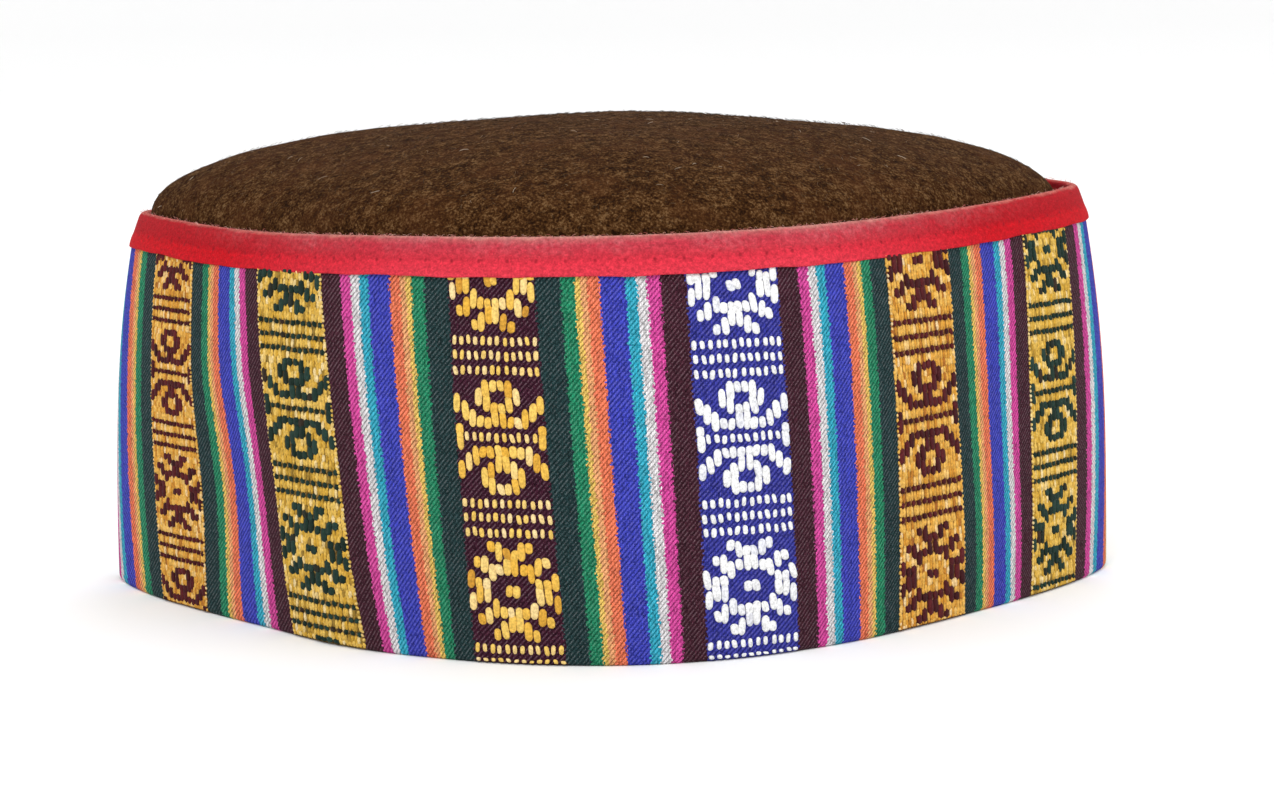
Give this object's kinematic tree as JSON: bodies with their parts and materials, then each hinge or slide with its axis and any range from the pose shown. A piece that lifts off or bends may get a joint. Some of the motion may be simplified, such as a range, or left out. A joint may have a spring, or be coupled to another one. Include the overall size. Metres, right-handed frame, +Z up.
{
  "type": "kullu cap",
  "caption": "Round woven cap with a low domed wool crown, a striped cloth band turned up round it and a folded tape binding.",
  "frame": {"origin": "middle of the rim, on the surface that the cap stands on", "axes": "+Z up, -Y to the front of the cap, +X to the wearer's left side fold as seen from the front on the right"},
  "size_m": [0.23, 0.1864, 0.106],
  "materials": {
    "brown_wool": "felted brown wool with a short nap and paler stray fibres",
    "striped_cloth": "fine twill in upright stripes of many colours, with bands of raised pattern threads",
    "red_tape": "red cotton tape, folded and top-stitched, dusty and worn along its upper edge"
  },
  "bodies": {
    "root": {"crown": "brown_wool", "band": "striped_cloth", "binding": "red_tape"}
  },
  "joints": []
}
